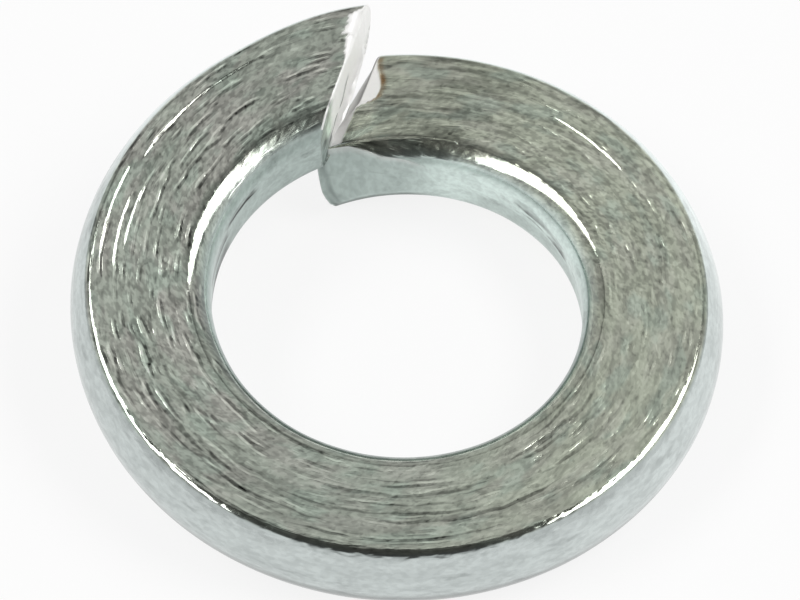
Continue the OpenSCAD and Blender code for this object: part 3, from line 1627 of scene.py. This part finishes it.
@dataclass
class PhotoCamera:
    """Camera at the photograph's angle; angles in degrees, the reach in metres, shares of the reach."""

    reach: float
    azimuth: float = -9.2516
    elevation: float = 57.1645
    roll: float = -1.0383
    focal_pixels: float = 12939.0
    distance_share: float = 40.0
    clip_share: float = 160.0
    target_share: tuple[float, float] = (0.0093, 0.2245)
    sensor: float = 36.0

    def axes(self) -> tuple[Vector, Vector, Vector]:
        """Directions to the right of, above and behind the camera in the picture, unrolled.

        Returns:
            The three directions.
        """
        turn = Matrix.Rotation(math.radians(self.azimuth), 3, "Z")
        tilt = math.radians(self.elevation)
        back = Vector((0.0, -math.cos(tilt), math.sin(tilt)))
        right = Vector((1.0, 0.0, 0.0))
        return turn @ right, turn @ back.cross(right), turn @ back

    def build(self) -> bpy.types.Object:
        """Make the camera and give it to the scene.

        Returns:
            The camera.
        """
        data = bpy.data.cameras.new("camera")
        data.sensor_width = self.sensor
        data.lens = self.focal_pixels * self.sensor / PHOTO_WIDTH
        data.clip_start = self.reach
        data.clip_end = self.reach * self.clip_share
        right, up, back = self.axes()
        lean = math.radians(self.roll)
        side = right * math.cos(lean) + up * math.sin(lean)
        top = up * math.cos(lean) - right * math.sin(lean)
        turn = Matrix.Rotation(math.radians(self.azimuth), 3, "Z")
        target = turn @ Vector((*self.target_share, 0.0)) * self.reach
        placed = Matrix((side, top, back)).transposed().to_4x4()
        placed.translation = target + back * self.reach * self.distance_share
        camera = put_in_scene("camera", data)
        camera.matrix_world = placed
        bpy.context.scene.camera = camera
        return camera


@dataclass(frozen=True)
class Softbox:
    """A soft oval lamp; bearing from straight ahead in the picture, in degrees to the right."""

    name: str
    bearing: float
    elevation: float
    width: float
    height: float
    radiance: float


@dataclass(frozen=True)
class Room:
    """How light a room is all round: pale low down, dark overhead and behind the camera.

    The levels are those of the walls, and each fade is by the reach of a direction: to the side,
    straight ahead, up, to the panel across from the camera, or to the dark patch behind it.
    """

    mirror_elevation: float = 57.0
    near_level: float = 0.95
    side_level: float = 0.78
    side: Fade = Fade(0.45, 0.75)
    far_level: float = 0.50
    far: Fade = Fade(0.2, 0.6)
    upper_level: float = 0.10
    upper: Fade = Fade(0.22, 0.62)
    side_rise: float = 0.2
    rise: Fade = Fade(0.3, 0.6)
    panel_level: float = 0.49
    panel: Fade = Fade(0.86, 0.95)
    dark_level: float = 0.07
    dark: Fade = Fade(0.84, 0.93)
    dark_side: Fade = Fade(0.62, 0.36)
    table_level: float = 1.2
    table: Fade = Fade(0.0, -0.03)


@dataclass
class Studio:
    """White floor, soft lamps and a room; lengths in metres."""

    camera: PhotoCamera
    room: Room = Room()
    lamp_distance: float = 0.3
    floor_radius: float = 0.25
    floor_sides: int = 64
    lamps: tuple[Softbox, ...] = (
        Softbox("left_softbox", -84.0, 54.0, 0.31, 0.085, 5.0),
        Softbox("right_softbox", 84.0, 51.0, 0.27, 0.125, 5.0),
    )

    def towards(self, bearing: float, elevation: float) -> Vector:
        """Direction in the frame from a bearing in the picture and an elevation.

        Args:
            bearing: Degrees to the right of straight ahead.
            elevation: Degrees over the table.

        Returns:
            The direction, of length 1.
        """
        flat = math.radians(bearing - self.camera.azimuth)
        tilt = math.radians(elevation)
        return Vector((
            math.sin(flat) * math.cos(tilt), math.cos(flat) * math.cos(tilt), math.sin(tilt),
        ))

    def hang(self, lamp: Softbox) -> None:
        """Make one lamp, facing the washer.

        Args:
            lamp: The lamp's place, size and radiance.
        """
        data = bpy.data.lights.new(lamp.name, "AREA")
        data.shape = "ELLIPSE"
        data.size = lamp.width
        data.size_y = lamp.height
        area = math.pi / 4.0 * lamp.width * lamp.height
        data.energy = lamp.radiance * math.pi * area
        back = self.towards(lamp.bearing, lamp.elevation)
        facing = back.to_track_quat("Z", "Y").to_matrix().to_4x4()
        put_in_scene(lamp.name, data).matrix_world = Matrix.Translation(back * self.lamp_distance) @ facing
        LOG.info("%s hung", lamp.name)

    def light_room(self) -> None:
        """Light the world as the room says."""
        world = bpy.data.worlds.new("room")
        world.use_nodes = True
        bench = NodeBench(world.node_tree)
        room = self.room
        direction = bench.term("ShaderNodeTexCoord", output="Generated")
        height = bench.axis(direction, "Z")
        aside = abs(bench.reach(direction, self.towards(bearing=90.0, elevation=0.0)))
        ahead = bench.reach(direction, self.towards(bearing=0.0, elevation=0.0))
        across = bench.reach(direction, self.towards(bearing=0.0, elevation=room.mirror_elevation))
        behind = bench.reach(direction, self.towards(bearing=180.0, elevation=room.mirror_elevation))
        low = room.near_level - room.side.on(aside) * (room.near_level - room.side_level)
        low = low - room.far.on(ahead) * (low - room.far_level)
        raised = height - room.rise.on(aside) * room.side_rise
        level = low - room.upper.on(raised) * (low - room.upper_level)
        level = level + room.panel.on(across) * room.panel_level
        hidden = room.dark.on(behind) * room.dark_side.on(aside)
        level = level - hidden * (level - room.dark_level)
        level = level + room.table.on(height) * (room.table_level - level)
        sky = bench.node("ShaderNodeBackground", sockets={"Color": level, "Strength": 1.0})
        bench.node("ShaderNodeOutputWorld", sockets={"Surface": sky.outputs[0]})
        bpy.context.scene.world = world

    @staticmethod
    def is_under_middle(face: bmesh.types.BMFace) -> bool:
        """Whether a plumb line through the screw axis passes through a triangle.

        Args:
            face: The triangle.

        Returns:
            True if it does.
        """
        flat = [vertex.co.to_2d() for vertex in face.verts]
        sides = [flat[i].cross(flat[i - 1]) for i in range(len(flat))]
        return all(side > 0.0 for side in sides) or all(side < 0.0 for side in sides)

    def lay_floor(self, piece: bpy.types.Object) -> None:
        """Lay the floor where the washer comes to rest: under the face of its hull below its middle.

        Args:
            piece: The washer, which the floor just touches.
        """
        hull = bmesh.new()
        hull.from_mesh(piece.data)
        made = bmesh.ops.convex_hull(hull, input=hull.verts)["geom"]
        faces = [face for face in made if isinstance(face, bmesh.types.BMFace)]
        under = [face for face in faces if self.is_under_middle(face)]
        rest = min(under, key=lambda face: face.calc_center_median().z)
        normal = rest.normal.copy() if rest.normal.z > 0.0 else -rest.normal
        corner = rest.verts[0].co
        point = Vector((0.0, 0.0, corner.dot(normal) / normal.z))
        hull.free()
        mesh = bmesh.new()
        bmesh.ops.create_circle(mesh, cap_ends=True, segments=self.floor_sides, radius=self.floor_radius)
        turn = normal.to_track_quat("Z", "Y").to_matrix().to_4x4()
        bmesh.ops.transform(mesh, matrix=Matrix.Translation(point) @ turn, verts=mesh.verts)
        data = bpy.data.meshes.new("floor")
        mesh.to_mesh(data)
        mesh.free()
        data.materials.append(WhiteBoard().material())
        put_in_scene("floor", data)

    def build(self, piece: bpy.types.Object) -> None:
        """Set the studio up round the washer.

        Args:
            piece: The washer.
        """
        self.light_room()
        self.lay_floor(piece)
        for lamp in self.lamps:
            self.hang(lamp)


def bore_radius() -> float:
    """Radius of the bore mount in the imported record, in millimetres."""
    mount = next(m for m in frame["record"]["mounts"] if m["name"] == "bore")
    return mount["dims"]["r_mm"]


def main() -> None:
    """Build the washer, the camera and the studio."""
    logging.basicConfig(level=logging.INFO, format="%(name)s: %(message)s")
    bpy.context.scene.view_settings.view_transform = "Standard"
    outer_r = (cad_high.x - cad_low.x) / 2.0 / MM
    section = WireSection(bore_r=bore_radius(), outer_r=outer_r)
    piece = SpringWasher(section, ZincPlate(section)).build()
    camera = PhotoCamera(reach=outer_r * MM)
    camera.build()
    Studio(camera).build(piece)


if __name__ == "__main__":
    main()
